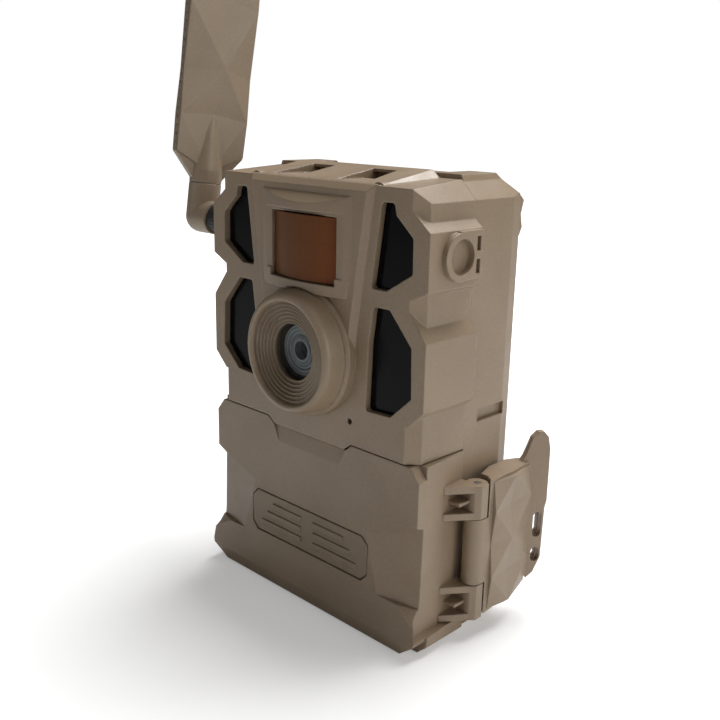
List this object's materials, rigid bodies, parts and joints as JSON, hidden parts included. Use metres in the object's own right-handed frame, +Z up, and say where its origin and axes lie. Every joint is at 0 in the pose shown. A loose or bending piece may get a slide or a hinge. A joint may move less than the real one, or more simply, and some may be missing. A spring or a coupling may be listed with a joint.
{
  "type": "trail camera",
  "caption": "Box-shaped trail camera with infrared windows, a motion sensor window, a hooded lens, a side-hinged battery door with a lever latch, and a swivelling paddle antenna.",
  "frame": {"origin": "mouth of the tripod socket, in the middle of the base near the back", "axes": "+Z up, +X to the right when facing the front of the camera, +Y from the front to the back"},
  "size_m": [0.138, 0.0676, 0.2867],
  "materials": {
    "case_plastic": "fine matt texture, tan",
    "door_plastic": "fine matt texture, tan",
    "antenna_plastic": "satin, tan, faceted",
    "badge_plastic": "matt, tan",
    "black_plastic": "matt black",
    "window_black": "tinted infrared window, gloss",
    "pir_brown": "brown translucent plastic, ribbed inside",
    "lens_glass": "clear, coated",
    "barrel_black": "black anodised",
    "steel": "plain steel",
    "nickel": "nickel plated",
    "brass": "knurled insert",
    "gold_plated": "gold plated",
    "board_green": "circuit board",
    "chip_black": "moulded package",
    "lamp_clear": "clear resin lens",
    "seal_rubber": "silicone cord",
    "cell_wrap": "wrapped steel can",
    "light_guide": "frosted light guide"
  },
  "bodies": {
    "case": {"front_shell": "case_plastic", "rear_shell": "case_plastic", "shell_gasket": "seal_rubber", "shell_screws": "steel", "lens_hood": "case_plastic", "lens_cover_glass": "lens_glass", "lens_barrel": "barrel_black", "lens_front_element": "lens_glass", "lens_rear_element": "lens_glass", "lens_holder": "black_plastic", "ir_cut_coil": "chip_black", "image_sensor": "chip_black", "sensor_board": "board_green", "ir_window_upper_left": "window_black", "ir_window_upper_right": "window_black", "ir_window_lower_left": "window_black", "ir_window_lower_right": "window_black", "ir_lamp_board_left": "board_green", "ir_lamp_board_right": "board_green", "ir_lamps_left": "lamp_clear", "ir_lamps_right": "lamp_clear", "pir_lens": "pir_brown", "pir_board": "board_green", "pir_sensor": "nickel", "pir_sensor_filter": "window_black", "main_board": "board_green", "main_board_chips": "chip_black", "modem_module": "nickel", "memory_card_socket": "nickel", "memory_card": "black_plastic", "sim_card_socket": "nickel", "microphone": "chip_black", "status_light": "light_guide", "antenna_socket": "gold_plated", "antenna_socket_nut": "nickel", "control_board": "board_green", "tripod_insert": "brass", "battery_tray": "black_plastic", "battery_cells": "cell_wrap", "tray_lower_contacts": "nickel", "tray_upper_contacts": "nickel", "door_hinge_pin": "steel", "antenna_collar": "black_plastic", "antenna_swivel_pin": "steel"},
    "door": {"battery_door": "door_plastic", "badge_panel": "badge_plastic", "door_gasket": "seal_rubber", "latch_pin": "steel"},
    "latch": {"latch_lever": "door_plastic"},
    "elbow": {"antenna_elbow": "antenna_plastic"},
    "blade": {"antenna_blade": "antenna_plastic", "antenna_element": "gold_plated"},
    "setup_key": {"setup_button": "black_plastic"},
    "test_key": {"test_button": "black_plastic"},
    "power_slider": {"power_switch_slider": "black_plastic"},
    "filter_carrier": {"ir_cut_carrier": "black_plastic", "ir_cut_filters": "lens_glass"}
  },
  "joints": [
    {"name": "door_hinge", "type": "hinge", "parent": "case", "child": "door", "pos_m": [-0.0496, -0.016, 0.0315], "axis": [0, 0, -1], "range_deg": [0, 110]},
    {"name": "latch_hinge", "type": "hinge", "parent": "door", "child": "latch", "pos_m": [0.0516, -0.0168, 0.031], "axis": [0, 0, -1], "range_deg": [0, 95]},
    {"name": "antenna_swivel", "type": "hinge", "parent": "case", "child": "elbow", "pos_m": [-0.0732, -0.0285, 0.125], "axis": [1, 0, 0], "range_deg": [-90, 90]},
    {"name": "antenna_turn", "type": "hinge", "parent": "elbow", "child": "blade", "pos_m": [-0.0732, -0.0267, 0.13707], "axis": [0, 0.1478, 0.989], "range_deg": [-90, 90]},
    {"name": "setup_press", "type": "slide", "parent": "case", "child": "setup_key", "axis": [0, 0, 1], "range_m": [0, 0.0008], "stiffness_N_per_m": 400},
    {"name": "test_press", "type": "slide", "parent": "case", "child": "test_key", "axis": [0, 0, 1], "range_m": [0, 0.0008], "stiffness_N_per_m": 400},
    {"name": "power_slide", "type": "slide", "parent": "case", "child": "power_slider", "axis": [1, 0, 0], "range_m": [0, 0.004]},
    {"name": "ir_cut_shift", "type": "slide", "parent": "case", "child": "filter_carrier", "axis": [1, 0, 0], "range_m": [0, 0.0072]}
  ]
}
